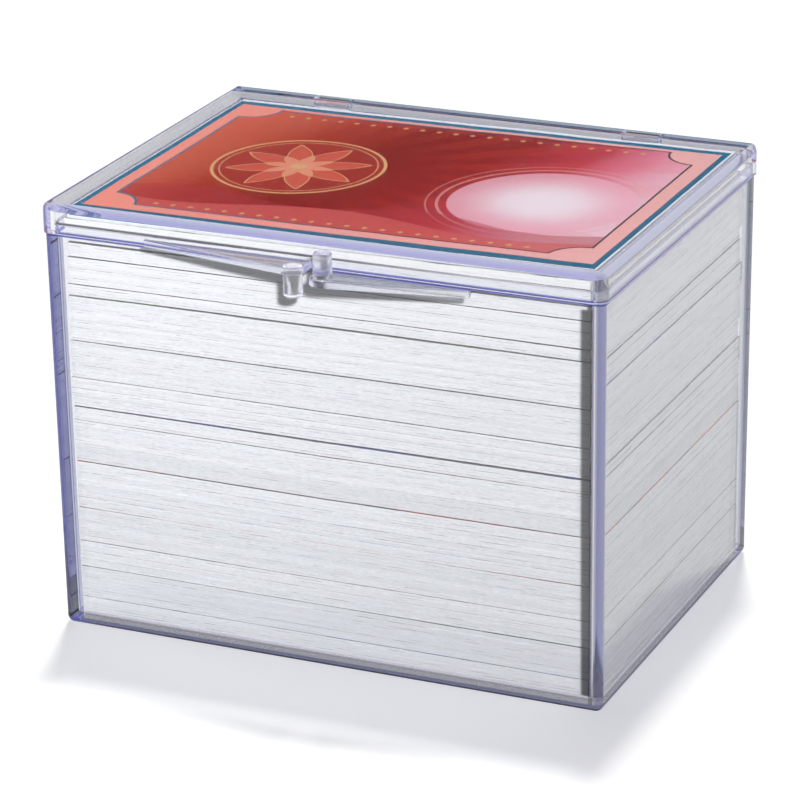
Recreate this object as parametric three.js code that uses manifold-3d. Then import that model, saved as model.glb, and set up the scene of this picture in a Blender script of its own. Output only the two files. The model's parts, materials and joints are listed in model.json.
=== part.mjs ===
// Card storage case: a clear moulded box with a hinged lid and two finger tabs, filled with trading cards.
// Millimetres. X runs along the long front side, Y from the front to the back and Z up. The origin is the
// middle of the base's underside, and the case is shown closed, which is where the lid's hinge reads zero.
import * as THREE from "three";
import { mergeVertices } from "three/addons/utils/BufferGeometryUtils.js";
import Module from "manifold-3d";

const wasm = await Module();
wasm.setup();

// The cards
const CARD_WIDTH = 88.9;
const CARD_DEPTH = 63.5;
const STACK_HEIGHT = 67.9; // of all the cards with the gaps between their packets
const CARD_EDGE_ROUND = 0.1; // the worn edge of a card: how deep the seam between two cards runs in
const PACKET_GAP = 0.1; // the air between two packets, where a bowed card leaves a dark line
const PACKET_SHIFT_X = 0.3; // how far packets at the rim stand out of line along the case
const PACKET_SHIFT_Y = 0.24; // and across it. Lower packets are held straighter by the leaning walls
const CARD_SHIFT = 0.05; // how far single cards stand out of line in their packet
const PACKET_PACE_X = 1.7; // radians from one packet to the next, which make a fixed unevenness
const PACKET_PACE_Y = 2.3;
const CARD_PACE = 2.9; // and from one card to the next
const PACKETS = [6, 12, 10, 13, 9, 9, 6, 10, 5, 4, 7, 14, 8, 9, 4, 10, 5, 5, 3]; // cards, from the floor up

// The base
const WALL = 1.8;
const FLOOR = 1.8;
const ROOM_X = 0.5; // from the cards to the walls at the underside
const ROOM_Y = 1;
const DRAFT = 0.4; // how far each wall leans out from the underside to the rim
const CORNER_CLEARANCE = 0.15; // from the cards' square corners to the rounded upright edges inside
const BASE_CORNER = 1.3; // outer rounding of the upright edges
const FOOT_EDGE = 1.3; // rounding all round the underside
const FLOOR_EDGE = 0.3; // rounding between the walls and the floor, which the square cards must clear
const LIP = 0.8; // thickness of the lip that stands up inside the lid
const LIP_HEIGHT = 1.8;
const LIP_CHAMFER = 0.2;

// The lid
const LID_PLATE = 1.6;
const LID_PROUD = 0.35; // how far the lid stands out past the base's walls
const LID_SKIRT = 3.6; // how far the skirt hangs below the plate
const HEADROOM = 1.1; // from the top card to the plate
const RIM_GAP = 0.2; // from the skirt to the base's shoulder
const LIP_CLEARANCE = 0.3; // from the lip to the skirt

// The hinge
const HINGE_CENTRE = 27.9; // of each ear, from the middle of the case
const EAR_WIDTH = 6;
const EAR_CLEARANCE = 0.3;
const BARREL_CLEARANCE = 0.3; // from the lid's round rear edge to the wall below it
const BARREL_TO_CARDS = 0.35;
const PIN_RADIUS = 0.8;
const PIN_REACH = 1.5; // of each pin into its ear
const PIN_CLEARANCE = 0.15;

// The finger tabs: the lid's lies left of the middle with its knob hanging down, the base's right of it
// with its knob standing up, so that a finger under one and a finger on the other pry the lid open.
const TAB_THICKNESS = 1.25;
const LID_TAB_LENGTH = 26.5;
const LID_TAB_HEEL = 0.3; // its depth at the far end
const BASE_TAB_LENGTH = 23.2;
const BASE_TAB_HEEL = 0.8;
const TAB_ROOT = 0.5; // how deep a tab is rooted in the wall behind it
const KNOB_OFFSET = 2.52; // of each knob from the middle
const KNOB_STANDOFF = 2.4; // of the knobs' centres in front of the lid's skirt
const KNOB_RADIUS = 1.5;
const KNOB_LENGTH = 4;
const KNOB_EDGE = 0.5;
const TAB_TIP_RADIUS = 2.1;

// Fineness of the curved faces
const CORNER_STEPS = 5;
const EDGE_STEPS = 6; // in a quarter turn
const ROUND_STEPS = 4 * EDGE_STEPS;
const SMALLEST_CORNER = 0.05;
const OVERRUN = 2; // how far a cutter runs past what it cuts

// What follows from these sizes. Half sizes are measured from the middle of the case.
const cardCount = PACKETS.reduce((sum, n) => sum + n, 1);
const cardThickness = (STACK_HEIGHT - PACKETS.length * PACKET_GAP) / cardCount;
const stackTop = FLOOR + STACK_HEIGHT;
const plateUnder = stackTop + HEADROOM;
const lidTop = plateUnder + LID_PLATE;
const lidRim = plateUnder - LID_SKIRT;
const shoulder = lidRim - RIM_GAP;
const lipTop = shoulder + LIP_HEIGHT;
const cavityX = CARD_WIDTH / 2 + ROOM_X + DRAFT;
const cavityY = CARD_DEPTH / 2 + ROOM_Y + DRAFT;
const baseX = cavityX + WALL;
const baseY = cavityY + WALL;
const lidX = baseX + LID_PROUD;
const lidY = baseY + LID_PROUD;
const lidCorner = BASE_CORNER + LID_PROUD;
const skirt = WALL + LID_PROUD - LIP - LIP_CLEARANCE;
// The largest rounding that a square card corner clears in both directions.
const freeX = Math.max(ROOM_X - CORNER_CLEARANCE, SMALLEST_CORNER);
const freeY = Math.max(ROOM_Y - CORNER_CLEARANCE, SMALLEST_CORNER);
const cavityCorner = freeX + freeY + Math.sqrt(2 * freeX * freeY);
const barrelRadius = (lidY - CARD_DEPTH / 2 - BARREL_TO_CARDS) / 2;
const hingeY = lidY - barrelRadius;
const hingeZ = lidTop - barrelRadius;
const rearWallTop = hingeZ - barrelRadius - BARREL_CLEARANCE;
const knobY = -lidY - KNOB_STANDOFF;

// A rounded rectangle, counter-clockwise, with the same number of points whatever its size.
function outline(halfX, halfY, corner) {
  const r = Math.max(corner, SMALLEST_CORNER);
  const x0 = halfX - r;
  const y0 = halfY - r;
  const centres = [[x0, y0], [-x0, y0], [-x0, -y0], [x0, -y0]];
  return centres.flatMap(([x, y], quarter) =>
    Array.from({ length: CORNER_STEPS + 1 }, (_, i) => {
      const angle = ((quarter + i / CORNER_STEPS) * Math.PI) / 2;
      return [x + r * Math.cos(angle), y + r * Math.sin(angle)];
    }),
  );
}

// A closed solid through a row of rings, each { points, z }, with its ends capped flat.
function loft(rings) {
  const count = rings[0].points.length;
  const positions = rings.flatMap((ring) => ring.points.flatMap(([x, y]) => [x, y, ring.z]));
  const faces = [];
  for (let k = 0; k + 1 < rings.length; k++) {
    for (let i = 0; i < count; i++) {
      const a = k * count + i;
      const b = k * count + ((i + 1) % count);
      faces.push(a, b, b + count, a, b + count, a + count);
    }
  }
  const last = (rings.length - 1) * count;
  for (let i = 1; i + 1 < count; i++) {
    faces.push(0, i + 1, i, last, last + i, last + i + 1);
  }
  const geometry = new THREE.BufferGeometry();
  geometry.setAttribute("position", new THREE.Float32BufferAttribute(positions, 3));
  geometry.setIndex(faces);
  return geometry;
}

function solid(geometry) {
  const bare = geometry.index ? geometry.toNonIndexed() : geometry.clone();
  bare.deleteAttribute("normal");
  bare.deleteAttribute("uv");
  const merged = mergeVertices(bare);
  return new wasm.Manifold(
    new wasm.Mesh({
      numProp: 3,
      vertProperties: merged.attributes.position.array,
      triVerts: new Uint32Array(merged.index.array),
    }),
  );
}

function geometryOf(made) {
  const mesh = made.getMesh();
  const geometry = new THREE.BufferGeometry();
  geometry.setAttribute("position", new THREE.BufferAttribute(mesh.vertProperties, 3));
  geometry.setIndex(new THREE.BufferAttribute(mesh.triVerts, 1));
  return geometry;
}

// A box from its lowest corner to its highest.
function block([x0, y0, z0], [x1, y1, z1]) {
  return solid(
    new THREE.BoxGeometry(x1 - x0, y1 - y0, z1 - z0).translate((x0 + x1) / 2, (y0 + y1) / 2, (z0 + z1) / 2),
  );
}

// A round bar about the hinge's axis.
function hingeBar(radius, x0, x1) {
  return solid(
    new THREE.CylinderGeometry(radius, radius, x1 - x0, ROUND_STEPS)
      .rotateZ(Math.PI / 2)
      .translate((x0 + x1) / 2, hingeY, hingeZ),
  );
}

// A finger tab seen from above: a round tip about the knob, and a taper back to the far end of the tab.
// The wall's face is at y, and side is -1 for the tab that runs to the left and 1 for the one to the right.
function tabOutline(side, y, length, heel) {
  const shape = new THREE.Shape();
  const tip = new THREE.Vector2(side * KNOB_OFFSET, knobY);
  const far = new THREE.Vector2(side * (KNOB_OFFSET + length), y - heel);
  const reach = far.distanceTo(tip);
  const along = Math.atan2(far.y - tip.y, far.x - tip.x);
  const tangent = along - side * Math.acos(TAB_TIP_RADIUS / reach);
  const inner = side > 0 ? Math.PI : 0;
  shape.moveTo(tip.x - side * TAB_TIP_RADIUS, y + TAB_ROOT);
  shape.lineTo(tip.x - side * TAB_TIP_RADIUS, tip.y);
  shape.absarc(tip.x, tip.y, TAB_TIP_RADIUS, inner, tangent, side < 0);
  shape.lineTo(far.x, far.y);
  shape.lineTo(far.x, y + TAB_ROOT);
  return shape;
}

// A knob standing on z = 0, with a rounded free end.
function knobGeometry() {
  const foot = -TAB_THICKNESS / 2;
  const profile = [new THREE.Vector2(0, foot), new THREE.Vector2(KNOB_RADIUS, foot)];
  for (let i = 0; i <= EDGE_STEPS; i++) {
    const angle = ((i / EDGE_STEPS) * Math.PI) / 2;
    const radius = KNOB_RADIUS - KNOB_EDGE * (1 - Math.cos(angle));
    profile.push(new THREE.Vector2(radius, KNOB_LENGTH - KNOB_EDGE * (1 - Math.sin(angle))));
  }
  profile.push(new THREE.Vector2(0, KNOB_LENGTH));
  return new THREE.LatheGeometry(profile, ROUND_STEPS).rotateX(Math.PI / 2);
}

// A tab with its knob. z is the face that the knob stands on, up is 1 for a knob that stands and -1 for
// one that hangs, and the tab lies on the other side of that face.
function fingerTab(side, y, z, up, length, heel) {
  const plate = new THREE.ExtrudeGeometry(tabOutline(side, y, length, heel), {
    depth: TAB_THICKNESS,
    bevelEnabled: false,
    curveSegments: ROUND_STEPS / 2,
  }).translate(0, 0, up > 0 ? z - TAB_THICKNESS : z);
  const knob = knobGeometry();
  if (up < 0) {
    knob.rotateX(Math.PI);
  }
  return solid(plate).add(solid(knob.translate(side * KNOB_OFFSET, knobY, z)));
}

// How far in the base's walls stand at a height, because they lean in from the shoulder to the underside.
function lean(z) {
  return DRAFT * (1 - z / shoulder);
}

function baseRing(z, inset, corner) {
  const x = baseX - lean(z) - inset;
  const y = baseY - lean(z) - inset;
  return { points: outline(x, y, corner), z };
}

function cavityRing(z, inset) {
  const x = cavityX - lean(z) - inset;
  const y = cavityY - lean(z) - inset;
  return { points: outline(x, y, cavityCorner - inset), z };
}

function quarterRound(radius) {
  return Array.from({ length: EDGE_STEPS + 1 }, (_, i) => {
    const angle = ((i / EDGE_STEPS) * Math.PI) / 2;
    return { inset: radius * (1 - Math.sin(angle)), rise: radius * (1 - Math.cos(angle)) };
  });
}

function baseShell() {
  const foot = quarterRound(FOOT_EDGE).map(({ inset, rise }) => baseRing(rise, inset, BASE_CORNER - inset));
  const lipX = lidX - skirt - LIP_CLEARANCE;
  const lipY = lidY - skirt - LIP_CLEARANCE;
  const rim = [
    baseRing(shoulder, 0, BASE_CORNER),
    { points: outline(lipX, lipY, lidCorner), z: shoulder },
    { points: outline(lipX, lipY, lidCorner), z: lipTop - LIP_CHAMFER },
    { points: outline(lipX - LIP_CHAMFER, lipY - LIP_CHAMFER, lidCorner - LIP_CHAMFER), z: lipTop },
    { points: outline(cavityX, cavityY, cavityCorner), z: lipTop },
    cavityRing(shoulder, 0),
  ];
  const floor = quarterRound(FLOOR_EDGE)
    .reverse()
    .map(({ inset, rise }) => cavityRing(FLOOR + rise, inset));
  let shell = solid(loft([...foot, ...rim, ...floor]));
  shell = shell.add(rearWall(lipX));
  for (const side of [-1, 1]) {
    shell = shell.add(ear(side * HINGE_CENTRE));
    const bore = PIN_RADIUS + PIN_CLEARANCE;
    const x = side * HINGE_CENTRE;
    shell = shell.subtract(hingeBar(bore, x - EAR_WIDTH / 2 - OVERRUN, x + EAR_WIDTH / 2 + OVERRUN));
  }
  return shell.add(fingerTab(1, -baseY, shoulder, 1, BASE_TAB_LENGTH, BASE_TAB_HEEL));
}

// The rear wall rises past the shoulder to just under the lid's round rear edge.
function rearWall(halfX) {
  const outer = outline(halfX, baseY, BASE_CORNER);
  const raised = solid(loft([{ points: outer, z: shoulder }, { points: outer, z: rearWallTop }]));
  const behind = block([-lidX, cavityY, shoulder - OVERRUN], [lidX, lidY, lidTop]);
  return raised.intersect(behind);
}

// An ear that stands on the rear wall and holds the lid's pins.
function ear(x) {
  const stem = block([x - EAR_WIDTH / 2, cavityY, shoulder], [x + EAR_WIDTH / 2, baseY, hingeZ]);
  return stem.add(hingeBar(barrelRadius, x - EAR_WIDTH / 2, x + EAR_WIDTH / 2));
}

function lidShell() {
  const innerX = lidX - skirt;
  const innerY = lidY - skirt;
  const inner = outline(innerX, innerY, lidCorner + LIP_CLEARANCE);
  const outer = [{ points: outline(lidX, lidY, lidCorner), z: lidRim }];
  for (const { inset, rise } of quarterRound(barrelRadius).reverse()) {
    outer.push({ points: outline(lidX - inset, lidY - inset, lidCorner - inset), z: lidTop - rise });
  }
  let shell = solid(loft([{ points: inner, z: plateUnder }, { points: inner, z: lidRim }, ...outer]));
  // Between the side walls the skirt is cut away at the back, and a round edge about the hinge replaces it.
  const rearSkirt = [-innerX, hingeY - barrelRadius, lidRim - OVERRUN];
  shell = shell.subtract(block(rearSkirt, [innerX, lidY + OVERRUN, hingeZ]));
  const blank = solid(loft(outer));
  shell = shell.add(hingeBar(barrelRadius, -lidX, lidX).intersect(blank));
  // The side walls' rear ends are rounded, so that they swing clear of the base's shoulder.
  const end = lidX + OVERRUN;
  const heels = block([-end, hingeY, lidRim - OVERRUN], [end, lidY + OVERRUN, hingeZ]);
  shell = shell.subtract(heels.subtract(hingeBar(hingeZ - lidRim, -end - OVERRUN, end + OVERRUN)));
  // A slot with straight sides round each ear leaves room for the ear's stem when the lid lies open.
  const slotRadius = barrelRadius + EAR_CLEARANCE;
  for (const side of [-1, 1]) {
    const x0 = side * HINGE_CENTRE - EAR_WIDTH / 2 - EAR_CLEARANCE;
    const x1 = side * HINGE_CENTRE + EAR_WIDTH / 2 + EAR_CLEARANCE;
    const reach = EAR_CLEARANCE + PIN_REACH;
    const slotFloor = [x0, hingeY - slotRadius, hingeZ];
    shell = shell.subtract(hingeBar(slotRadius, x0, x1));
    shell = shell.subtract(block(slotFloor, [x1, lidY + OVERRUN, lidTop + OVERRUN]));
    shell = shell.add(hingeBar(PIN_RADIUS, x0 - PIN_REACH, x0 + reach));
    shell = shell.add(hingeBar(PIN_RADIUS, x1 - reach, x1 + PIN_REACH));
  }
  return shell.add(fingerTab(-1, -lidY, lidRim, -1, LID_TAB_LENGTH, LID_TAB_HEEL));
}

// A packet of cards that lie close together. Each card is a slab with softened edges, shifted a little.
function packetGeometry(count, index, z) {
  const looseShare = z / shoulder;
  const shiftX = PACKET_SHIFT_X * looseShare * Math.sin(PACKET_PACE_X * index);
  const shiftY = PACKET_SHIFT_Y * looseShare * Math.sin(PACKET_PACE_Y * index);
  const ring = (height, card, inset) => {
    const x = shiftX + CARD_SHIFT * Math.sin(CARD_PACE * card + index);
    const y = shiftY + CARD_SHIFT * Math.cos(CARD_PACE * card + index);
    const halfX = CARD_WIDTH / 2 - inset;
    const halfY = CARD_DEPTH / 2 - inset;
    const corners = [[halfX, halfY], [-halfX, halfY], [-halfX, -halfY], [halfX, -halfY]];
    return { points: corners.map(([cornerX, cornerY]) => [x + cornerX, y + cornerY]), z: height };
  };
  const rings = [ring(z, 0, 0)];
  for (let card = 0; card < count; card++) {
    const under = z + card * cardThickness;
    if (card > 0) {
      rings.push(ring(under, card, CARD_EDGE_ROUND));
      rings.push(ring(under + CARD_EDGE_ROUND, card, 0));
    }
    const over = under + cardThickness;
    rings.push(ring(card + 1 < count ? over - CARD_EDGE_ROUND : over, card, 0));
  }
  return loft(rings);
}

const clearPlastic = { color: 0xdcdff2, roughness: 0.05, metalness: 0, transparent: true, opacity: 0.35 };
const cardEdges = { color: 0xdfe2e9, roughness: 0.85, metalness: 0 };
const printedCard = { color: 0xa8402f, roughness: 0.35, metalness: 0 };

function piece(name, geometry, look) {
  const mesh = new THREE.Mesh(geometry, new THREE.MeshStandardMaterial(look));
  mesh.name = name;
  return mesh;
}

const storageCase = new THREE.Group();
storageCase.name = "card_storage_case";

const base = new THREE.Group();
base.name = "base";
base.add(piece("base_shell", geometryOf(baseShell()), clearPlastic));

const cards = new THREE.Group();
cards.name = "cards";
let height = FLOOR;
PACKETS.forEach((count, index) => {
  const name = "card_packet_" + String(index + 1).padStart(2, "0");
  cards.add(piece(name, packetGeometry(count, index, height), cardEdges));
  height += count * cardThickness + PACKET_GAP;
});
cards.add(piece("top_card", packetGeometry(1, PACKETS.length, height), printedCard));

const lid = new THREE.Group();
lid.name = "lid";
lid.add(piece("lid_shell", geometryOf(lidShell()), clearPlastic));

storageCase.add(base, cards, lid);

export default storageCase;
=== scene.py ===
"""A clear card storage case: two moulded shells, a stack of 150 cards and a plain studio."""
import json
import math

import bmesh
import bpy
from mathutils import Matrix, Vector, noise


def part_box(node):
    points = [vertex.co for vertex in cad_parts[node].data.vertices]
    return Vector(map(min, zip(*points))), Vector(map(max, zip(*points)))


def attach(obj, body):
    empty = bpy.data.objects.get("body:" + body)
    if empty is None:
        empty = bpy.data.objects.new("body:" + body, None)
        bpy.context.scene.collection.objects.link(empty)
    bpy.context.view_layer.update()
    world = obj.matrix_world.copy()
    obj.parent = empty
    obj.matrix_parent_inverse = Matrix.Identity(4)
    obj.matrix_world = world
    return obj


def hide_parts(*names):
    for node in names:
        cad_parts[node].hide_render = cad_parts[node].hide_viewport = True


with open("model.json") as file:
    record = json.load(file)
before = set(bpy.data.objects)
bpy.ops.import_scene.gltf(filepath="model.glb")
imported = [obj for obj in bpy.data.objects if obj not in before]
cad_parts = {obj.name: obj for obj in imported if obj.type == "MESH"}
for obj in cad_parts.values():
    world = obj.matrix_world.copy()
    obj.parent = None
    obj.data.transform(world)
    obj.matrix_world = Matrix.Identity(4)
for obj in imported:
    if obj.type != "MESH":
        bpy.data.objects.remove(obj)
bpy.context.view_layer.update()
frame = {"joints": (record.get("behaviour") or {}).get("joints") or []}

MM = 0.001

# The cards. PACKETS counts those between two open gaps, from the floor up, and the top card is one more.
CARD_WIDTH = 88.9 * MM
CARD_DEPTH = 63.5 * MM
CARD_BEVEL = 0.024 * MM
PACKET_SHIFT_X = 0.3 * MM
PACKET_SHIFT_Y = 0.24 * MM
PACKET_PACE_X = 1.7
PACKET_PACE_Y = 2.3
CARD_WANDER = 0.05 * MM
CARD_SEED = 3
CARD_GAP = 0.1 * MM
CARD_STRIPS_X = 14
CARD_STRIPS_Y = 8
PACKETS = [6, 12, 10, 13, 9, 9, 6, 10, 5, 4, 7, 14, 8, 9, 4, 10, 5, 5, 3]

# The base
WALL = 1.8 * MM
FLOOR = 1.8 * MM
DRAFT = 0.4 * MM
CAVITY_CORNER = 0.8 * MM
BASE_CORNER = 1.3 * MM
FOOT_EDGE = 1.3 * MM
FLOOR_EDGE = 0.3 * MM
LIP = 0.8 * MM
LIP_HEIGHT = 1.8 * MM
SOFT_EDGE = 0.15 * MM
LEAST_CORNER = 0.05 * MM

# The lid
LID_PLATE = 1.6 * MM
LID_PROUD = 0.35 * MM
LID_SKIRT = 3.6 * MM
LID_EDGE = 0.6 * MM
RIM_GAP = 0.2 * MM
LIP_CLEARANCE = 0.3 * MM

# The hinge
HINGE_CENTRE = 27.9 * MM
EAR_WIDTH = 6 * MM
EAR_CLEARANCE = 0.3 * MM
BARREL_CLEARANCE = 0.3 * MM
PIN_RADIUS = 0.8 * MM
PIN_REACH = 1.5 * MM
PIN_CLEARANCE = 0.15 * MM

# The finger tabs
TAB_THICKNESS = 1.25 * MM
LID_TAB_LENGTH = 26.5 * MM
LID_TAB_HEEL = 0.3 * MM
BASE_TAB_LENGTH = 23.2 * MM
BASE_TAB_HEEL = 0.8 * MM
TAB_ROOT = 0.5 * MM
TAB_TIP_RADIUS = 2.1 * MM
TAB_EDGE = 0.2 * MM
KNOB_OFFSET = 2.52 * MM
KNOB_STANDOFF = 2.4 * MM
KNOB_RADIUS = 1.5 * MM
KNOB_LENGTH = 4 * MM
KNOB_EDGE = 0.5 * MM

# How fine the round shapes are, and the small lengths that cuts and joins need
CORNER_FACES = 10
EDGE_FACES = 8
FLOOR_FACES = 4
SOFT_FACES = 3
ROUND_FACES = 48
OVERRUN = 2 * MM
HAIR = 0.004 * MM
MERGE = 0.001 * MM
CREASE = math.radians(35)

# What the frame says
LID_X, LID_Y, LID_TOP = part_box("lid_shell")[1]
PLATE_UNDER = LID_TOP - LID_PLATE
LID_RIM = PLATE_UNDER - LID_SKIRT
SHOULDER = LID_RIM - RIM_GAP
LIP_TOP = SHOULDER + LIP_HEIGHT
BASE_X = LID_X - LID_PROUD
BASE_Y = LID_Y - LID_PROUD
CAVITY_X = BASE_X - WALL
CAVITY_Y = BASE_Y - WALL
LID_CORNER = BASE_CORNER + LID_PROUD
SKIRT = WALL + LID_PROUD - LIP - LIP_CLEARANCE
HINGE_Y = frame["joints"][0]["pos_m"][1]
HINGE_Z = frame["joints"][0]["pos_m"][2]
BARREL_RADIUS = LID_TOP - HINGE_Z
REAR_WALL_TOP = HINGE_Z - BARREL_RADIUS - BARREL_CLEARANCE
KNOB_Y = -LID_Y - KNOB_STANDOFF
STACK_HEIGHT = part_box("top_card")[1].z - FLOOR
CARD_COUNT = sum(PACKETS) + 1
CARD_THICKNESS = (STACK_HEIGHT - len(PACKETS) * CARD_GAP) / CARD_COUNT


def ring(bm, half_x, half_y, corner, z):
    """The edges of a rounded rectangle that lies flat at height z."""
    place = Matrix.Translation((0, 0, z)) @ Matrix.Diagonal((half_x, half_y, 1, 1))
    corners = bmesh.ops.create_grid(bm, x_segments=1, y_segments=1, size=1, matrix=place)["verts"]
    bmesh.ops.bevel(
        bm, geom=corners, offset=corner, offset_type="OFFSET", segments=CORNER_FACES, profile=0.5,
        affect="VERTICES", material=-1,
    )
    face = next(iter(bm.faces))
    edges = list(face.edges)
    bmesh.ops.delete(bm, geom=[face], context="FACES_ONLY")
    return edges


def loft(rings):
    """A closed solid through rings, each (half_x, half_y, corner, z)."""
    bm = bmesh.new()
    rim = ring(bm, *rings[0])
    bmesh.ops.contextual_create(bm, geom=rim)
    for (old_x, old_y, old_corner, _), (half_x, half_y, corner, z) in zip(rings, rings[1:]):
        raised = bmesh.ops.extrude_edge_only(bm, edges=rim)["geom"]
        verts = {part for part in raised if isinstance(part, bmesh.types.BMVert)}
        edges = [part for part in raised if isinstance(part, bmesh.types.BMEdge)]
        rim = [edge for edge in edges if verts.issuperset(edge.verts)]
        for vert in verts:
            x, y, _ = vert.co
            way_x = x - math.copysign(old_x - old_corner, x)
            way_y = y - math.copysign(old_y - old_corner, y)
            grown = corner / old_corner
            vert.co.x = math.copysign(half_x - corner, x) + way_x * grown
            vert.co.y = math.copysign(half_y - corner, y) + way_y * grown
            vert.co.z = z
    bmesh.ops.contextual_create(bm, geom=rim)
    bmesh.ops.recalc_face_normals(bm, faces=bm.faces)
    return bm


def quarter_round(radius, faces=EDGE_FACES):
    """(inset, rise) steps of a rounded edge, from the flat face up to the wall."""
    steps = [math.pi / 2 * i / faces for i in range(faces + 1)]
    return [(radius * (1 - math.sin(a)), radius * (1 - math.cos(a))) for a in steps]


def block(low, high):
    """A box between two corners."""
    low, high = Vector(low), Vector(high)
    bm = bmesh.new()
    place = Matrix.Translation((low + high) / 2) @ Matrix.Diagonal((*(high - low), 1))
    bmesh.ops.create_cube(bm, size=1, matrix=place)
    return bm


def hinge_bar(radius, x0, x1):
    """A round bar about the hinge's axis."""
    bm = bmesh.new()
    middle = ((x0 + x1) / 2, HINGE_Y, HINGE_Z)
    bmesh.ops.create_cone(
        bm, cap_ends=True, segments=ROUND_FACES, radius1=radius, radius2=radius, depth=x1 - x0,
        matrix=Matrix.Translation(middle) @ Matrix.Rotation(math.pi / 2, 4, "Y"),
    )
    return bm


def solid(name, bm):
    """An object from a bmesh, which is used up."""
    mesh = bpy.data.meshes.new(name)
    bm.to_mesh(mesh)
    bm.free()
    made = bpy.data.objects.new(name, mesh)
    bpy.context.scene.collection.objects.link(made)
    return made


def apply_modifiers(work):
    """Makes an object's modifiers part of its mesh."""
    with bpy.context.temp_override(object=work, active_object=work, selected_objects=[work]):
        for step in list(work.modifiers):
            bpy.ops.object.modifier_apply(modifier=step.name)


def shape(work, operation, tool):
    """Joins a tool to an object, cuts it away or keeps what both share.

    The tool is a bmesh or an object, and is used up.
    """
    if isinstance(tool, bmesh.types.BMesh):
        tool = solid("tool", tool)
    step = work.modifiers.new("shape", "BOOLEAN")
    step.operation = operation
    step.solver = "EXACT"
    step.object = tool
    apply_modifiers(work)
    bpy.data.objects.remove(tool)


def tab_plate(side, wall_y, low, length, heel):
    """A finger tab: a round tip about the knob and a taper back to its far end.

    side is -1 for the left tab and 1 for the right one.
    """
    tip = Vector((side * KNOB_OFFSET, KNOB_Y))
    far = Vector((side * (KNOB_OFFSET + length), wall_y - heel))
    along = math.atan2(far.y - tip.y, far.x - tip.x)
    full_turn = 2 * math.pi
    tangent = (along - side * math.acos(TAB_TIP_RADIUS / (far - tip).length)) % full_turn
    start = math.pi if side > 0 else full_turn
    steps = ROUND_FACES // 3
    points = [(tip.x - side * TAB_TIP_RADIUS, wall_y + TAB_ROOT)]
    for i in range(steps + 1):
        angle = start + (tangent - start) * i / steps
        points.append((
            tip.x + TAB_TIP_RADIUS * math.cos(angle),
            tip.y + TAB_TIP_RADIUS * math.sin(angle),
        ))
    points += [tuple(far), (far.x, wall_y + TAB_ROOT)]
    bm = bmesh.new()
    face = bm.faces.new([bm.verts.new((x, y, low)) for x, y in points])
    raised = bmesh.ops.extrude_face_region(bm, geom=[face])["geom"]
    raised = [part for part in raised if isinstance(part, bmesh.types.BMVert)]
    bmesh.ops.translate(bm, verts=raised, vec=(0, 0, TAB_THICKNESS))
    bmesh.ops.recalc_face_normals(bm, faces=bm.faces)
    rims = [edge for edge in bm.edges if len({round(v.co.z, 7) for v in edge.verts}) == 1]
    bmesh.ops.bevel(
        bm, geom=rims, offset=TAB_EDGE, offset_type="OFFSET", segments=SOFT_FACES, profile=0.5,
        affect="EDGES", material=-1,
    )
    return bm


def knob(side, foot, up):
    """A round knob with a softened free end. It stands on height foot, or hangs from it if up is -1."""
    bm = bmesh.new()
    sunk = -TAB_THICKNESS / 2
    outline = [(0, sunk), (KNOB_RADIUS, sunk)]
    for inset, rise in reversed(quarter_round(KNOB_EDGE)):
        outline.append((KNOB_RADIUS - inset, KNOB_LENGTH - rise))
    outline.append((0, KNOB_LENGTH))
    verts = [bm.verts.new((r, 0, z)) for r, z in outline]
    edges = [bm.edges.new(pair) for pair in zip(verts, verts[1:])]
    bmesh.ops.spin(
        bm, geom=verts + edges, cent=(0, 0, 0), axis=(0, 0, 1), angle=2 * math.pi,
        steps=ROUND_FACES, use_merge=True,
    )
    bmesh.ops.remove_doubles(bm, verts=bm.verts, dist=MERGE)
    if up < 0:
        over = Matrix.Rotation(math.pi, 3, "X")
        bmesh.ops.rotate(bm, verts=bm.verts, cent=(0, 0, 0), matrix=over)
    bmesh.ops.translate(bm, verts=bm.verts, vec=(side * KNOB_OFFSET, KNOB_Y, foot))
    bmesh.ops.recalc_face_normals(bm, faces=bm.faces)
    return bm


def lean(z):
    """How far a wall leans in at a height below the shoulder."""
    return DRAFT * (1 - z / SHOULDER)


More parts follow.
